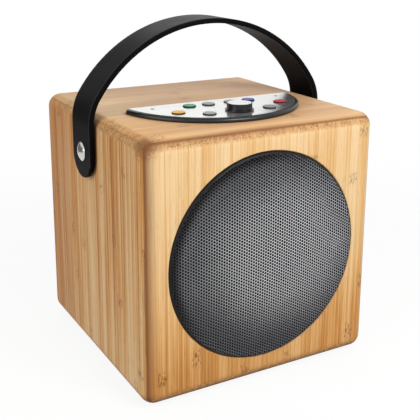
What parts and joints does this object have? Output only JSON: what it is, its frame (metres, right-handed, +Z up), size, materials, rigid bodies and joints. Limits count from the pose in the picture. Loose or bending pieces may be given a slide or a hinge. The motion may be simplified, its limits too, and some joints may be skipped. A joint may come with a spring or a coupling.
{
  "type": "audio story player",
  "caption": "Bamboo cube audio player for children with a domed perforated speaker grille, a half-moon panel of push buttons with a volume knob, and a strap handle.",
  "frame": {"origin": "centre of the footprint, on the surface that the feet stand on", "axes": "+Z up, -Y out of the front with the speaker grille, +X to the right seen from the front"},
  "size_m": [0.1618, 0.1526, 0.2048],
  "materials": {
    "bamboo": "oiled laminated bamboo, fine vertical grain",
    "grille_steel": "grey satin coat on a perforated domed sheet",
    "silver_plate": "satin bright, near mirror",
    "black_plastic": "moulded, satin",
    "knob_black": "gloss",
    "button_yellow": "gloss",
    "button_green": "gloss",
    "button_blue": "gloss",
    "button_red": "gloss",
    "button_grey": "gloss",
    "strap_black": "moulded satin strap with rounded edges",
    "bright_steel": "polished",
    "screw_steel": "plated",
    "soft_rubber": "soft",
    "basket_paint": "stamped steel, black paint",
    "ferrite": "sintered, matt",
    "cone_paper": "pressed paper cone, black",
    "coil_copper": "enamelled wire",
    "spider_cloth": "resin-dipped cotton",
    "circuit_green": "solder mask",
    "clear_plastic": "clear moulded",
    "white_plastic": "moulded",
    "cell_sleeve": "shrink sleeve"
  },
  "bodies": {
    "cabinet": {"front_board": "bamboo", "left_board": "bamboo", "right_board": "bamboo", "top_board": "bamboo", "bottom_board": "bamboo", "rear_panel": "bamboo", "corner_blocks": "bamboo", "rear_screws": "screw_steel", "feet": "soft_rubber", "grille": "grille_steel", "driver_gasket": "soft_rubber", "driver_basket": "basket_paint", "driver_top_plate": "screw_steel", "driver_magnet": "ferrite", "driver_yoke": "screw_steel", "driver_surround": "soft_rubber", "driver_spider": "spider_cloth", "driver_screws": "screw_steel", "panel_seal": "soft_rubber", "panel_bezel": "black_plastic", "panel_faceplate": "silver_plate", "control_board": "circuit_green", "control_board_screws": "screw_steel", "button_switches": "black_plastic", "encoder_body": "screw_steel", "status_light": "white_plastic", "light_pipe": "clear_plastic", "microphone": "screw_steel", "handle_bolts": "bright_steel", "handle_washers": "black_plastic", "handle_nuts": "screw_steel", "main_board": "circuit_green", "board_standoffs": "white_plastic", "board_screws": "screw_steel", "aux_socket": "black_plastic", "charge_socket": "bright_steel", "battery_cradle": "black_plastic", "battery_cells": "cell_sleeve", "cradle_screws": "screw_steel", "driver_terminals": "black_plastic", "speaker_leads": "soft_rubber", "battery_leads": "soft_rubber", "panel_ribbon": "white_plastic", "wire_sockets": "white_plastic"},
    "handle": {"handle_strap": "strap_black"},
    "knob": {"volume_knob": "knob_black", "knob_cap": "silver_plate", "encoder_shaft": "screw_steel"},
    "cone": {"driver_cone": "cone_paper", "dust_cap": "cone_paper", "voice_coil": "coil_copper"},
    "button_green": {"button_green": "button_green"},
    "button_grey_rear_left": {"button_grey_rear_left": "button_grey"},
    "button_grey_rear_right": {"button_grey_rear_right": "button_grey"},
    "button_blue": {"button_blue": "button_blue"},
    "button_yellow": {"button_yellow": "button_yellow"},
    "button_red": {"button_red": "button_red"},
    "button_grey_front_left": {"button_grey_front_left": "button_grey"},
    "button_grey_front_right": {"button_grey_front_right": "button_grey"}
  },
  "joints": [
    {"name": "handle_swing", "type": "hinge", "parent": "cabinet", "child": "handle", "pos_m": [0, 0.0013, 0.1308], "axis": [1, 0, 0], "range_deg": [-25, 25]},
    {"name": "volume_turn", "type": "hinge", "parent": "cabinet", "child": "knob", "pos_m": [0, -0.0435, 0.1555], "axis": [0, 0, 1], "continuous": true},
    {"name": "press_green", "type": "slide", "parent": "cabinet", "child": "button_green", "axis": [0, 0, -1], "range_m": [0, 0.0007], "stiffness_N_per_m": 800},
    {"name": "press_grey_rear_left", "type": "slide", "parent": "cabinet", "child": "button_grey_rear_left", "axis": [0, 0, -1], "range_m": [0, 0.0007], "stiffness_N_per_m": 800},
    {"name": "press_grey_rear_right", "type": "slide", "parent": "cabinet", "child": "button_grey_rear_right", "axis": [0, 0, -1], "range_m": [0, 0.0007], "stiffness_N_per_m": 800},
    {"name": "press_blue", "type": "slide", "parent": "cabinet", "child": "button_blue", "axis": [0, 0, -1], "range_m": [0, 0.0007], "stiffness_N_per_m": 800},
    {"name": "press_yellow", "type": "slide", "parent": "cabinet", "child": "button_yellow", "axis": [0, 0, -1], "range_m": [0, 0.0007], "stiffness_N_per_m": 800},
    {"name": "press_red", "type": "slide", "parent": "cabinet", "child": "button_red", "axis": [0, 0, -1], "range_m": [0, 0.0007], "stiffness_N_per_m": 800},
    {"name": "press_grey_front_left", "type": "slide", "parent": "cabinet", "child": "button_grey_front_left", "axis": [0, 0, -1], "range_m": [0, 0.0007], "stiffness_N_per_m": 800},
    {"name": "press_grey_front_right", "type": "slide", "parent": "cabinet", "child": "button_grey_front_right", "axis": [0, 0, -1], "range_m": [0, 0.0007], "stiffness_N_per_m": 800},
    {"name": "cone_travel", "type": "slide", "parent": "cabinet", "child": "cone", "axis": [0, -1, 0], "range_m": [-0.0015, 0.0015], "stiffness_N_per_m": 1500, "deforming": ["driver_surround", "driver_spider"]}
  ]
}
